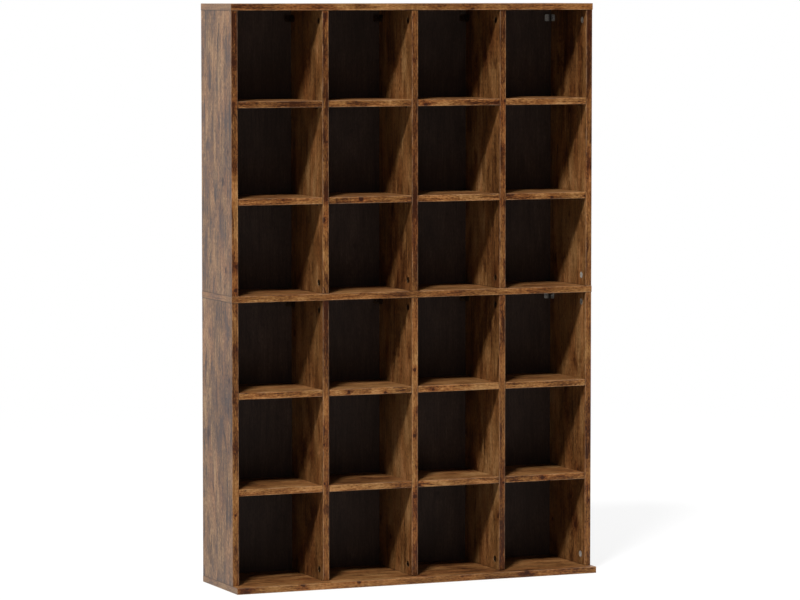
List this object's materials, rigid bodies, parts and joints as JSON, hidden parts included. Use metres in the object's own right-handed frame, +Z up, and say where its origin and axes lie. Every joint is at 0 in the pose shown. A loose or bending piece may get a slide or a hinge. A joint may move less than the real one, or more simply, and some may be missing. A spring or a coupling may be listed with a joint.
{
  "type": "media shelf",
  "caption": "Tall narrow media shelf: a flat-packed grid of equal bays for disc cases, with loose small shelves, a full-width middle board and a stepped base.",
  "frame": {"origin": "centre of the outline on the floor plane, under the base board", "axes": "+Z up, +Y towards the hardboard back, so that the open front faces -Y, and +X to the right seen from the front"},
  "size_m": [0.9, 0.23, 1.335],
  "materials": {
    "rustic_board": "rustic-brown wood-print melamine on particleboard, satin, grain along each board",
    "hardboard": "dark brown printed hardboard, matt",
    "zinc_fitting": "bright zinc, cast or plated",
    "bronzed_fitting": "dark bronzed, satin",
    "beech_dowel": "bare beech"
  },
  "bodies": {
    "carcass": {"top_board": "rustic_board", "middle_board": "rustic_board", "base_board": "rustic_board", "lower_left_side": "rustic_board", "lower_divider_1": "rustic_board", "lower_divider_2": "rustic_board", "lower_divider_3": "rustic_board", "lower_right_side": "rustic_board", "lower_back_panel": "hardboard", "upper_left_side": "rustic_board", "upper_divider_1": "rustic_board", "upper_divider_2": "rustic_board", "upper_divider_3": "rustic_board", "upper_right_side": "rustic_board", "upper_back_panel": "hardboard", "shelf_supports": "bronzed_fitting", "side_cam_locks": "zinc_fitting", "divider_cam_locks": "bronzed_fitting", "top_cam_bolts": "zinc_fitting", "base_cam_bolts": "zinc_fitting", "middle_double_bolts": "zinc_fitting", "top_dowels": "beech_dowel", "base_dowels": "beech_dowel", "middle_dowels": "beech_dowel", "side_brackets": "zinc_fitting", "divider_brackets": "bronzed_fitting", "bracket_wall_screws": "zinc_fitting", "bracket_back_screws": "zinc_fitting", "back_panel_screws": "bronzed_fitting"},
    "shelf_r1_c1": {"shelf_r1_c1": "rustic_board"},
    "shelf_r1_c2": {"shelf_r1_c2": "rustic_board"},
    "shelf_r1_c3": {"shelf_r1_c3": "rustic_board"},
    "shelf_r1_c4": {"shelf_r1_c4": "rustic_board"},
    "shelf_r2_c1": {"shelf_r2_c1": "rustic_board"},
    "shelf_r2_c2": {"shelf_r2_c2": "rustic_board"},
    "shelf_r2_c3": {"shelf_r2_c3": "rustic_board"},
    "shelf_r2_c4": {"shelf_r2_c4": "rustic_board"},
    "shelf_r3_c1": {"shelf_r3_c1": "rustic_board"},
    "shelf_r3_c2": {"shelf_r3_c2": "rustic_board"},
    "shelf_r3_c3": {"shelf_r3_c3": "rustic_board"},
    "shelf_r3_c4": {"shelf_r3_c4": "rustic_board"},
    "shelf_r4_c1": {"shelf_r4_c1": "rustic_board"},
    "shelf_r4_c2": {"shelf_r4_c2": "rustic_board"},
    "shelf_r4_c3": {"shelf_r4_c3": "rustic_board"},
    "shelf_r4_c4": {"shelf_r4_c4": "rustic_board"}
  },
  "joints": [
    {"name": "shelf_r1_c1_pull", "type": "slide", "parent": "carcass", "child": "shelf_r1_c1", "axis": [0, -1, 0], "range_m": [0, 0.2]},
    {"name": "shelf_r1_c2_pull", "type": "slide", "parent": "carcass", "child": "shelf_r1_c2", "axis": [0, -1, 0], "range_m": [0, 0.2]},
    {"name": "shelf_r1_c3_pull", "type": "slide", "parent": "carcass", "child": "shelf_r1_c3", "axis": [0, -1, 0], "range_m": [0, 0.2]},
    {"name": "shelf_r1_c4_pull", "type": "slide", "parent": "carcass", "child": "shelf_r1_c4", "axis": [0, -1, 0], "range_m": [0, 0.2]},
    {"name": "shelf_r2_c1_pull", "type": "slide", "parent": "carcass", "child": "shelf_r2_c1", "axis": [0, -1, 0], "range_m": [0, 0.2]},
    {"name": "shelf_r2_c2_pull", "type": "slide", "parent": "carcass", "child": "shelf_r2_c2", "axis": [0, -1, 0], "range_m": [0, 0.2]},
    {"name": "shelf_r2_c3_pull", "type": "slide", "parent": "carcass", "child": "shelf_r2_c3", "axis": [0, -1, 0], "range_m": [0, 0.2]},
    {"name": "shelf_r2_c4_pull", "type": "slide", "parent": "carcass", "child": "shelf_r2_c4", "axis": [0, -1, 0], "range_m": [0, 0.2]},
    {"name": "shelf_r3_c1_pull", "type": "slide", "parent": "carcass", "child": "shelf_r3_c1", "axis": [0, -1, 0], "range_m": [0, 0.2]},
    {"name": "shelf_r3_c2_pull", "type": "slide", "parent": "carcass", "child": "shelf_r3_c2", "axis": [0, -1, 0], "range_m": [0, 0.2]},
    {"name": "shelf_r3_c3_pull", "type": "slide", "parent": "carcass", "child": "shelf_r3_c3", "axis": [0, -1, 0], "range_m": [0, 0.2]},
    {"name": "shelf_r3_c4_pull", "type": "slide", "parent": "carcass", "child": "shelf_r3_c4", "axis": [0, -1, 0], "range_m": [0, 0.2]},
    {"name": "shelf_r4_c1_pull", "type": "slide", "parent": "carcass", "child": "shelf_r4_c1", "axis": [0, -1, 0], "range_m": [0, 0.2]},
    {"name": "shelf_r4_c2_pull", "type": "slide", "parent": "carcass", "child": "shelf_r4_c2", "axis": [0, -1, 0], "range_m": [0, 0.2]},
    {"name": "shelf_r4_c3_pull", "type": "slide", "parent": "carcass", "child": "shelf_r4_c3", "axis": [0, -1, 0], "range_m": [0, 0.2]},
    {"name": "shelf_r4_c4_pull", "type": "slide", "parent": "carcass", "child": "shelf_r4_c4", "axis": [0, -1, 0], "range_m": [0, 0.2]}
  ]
}
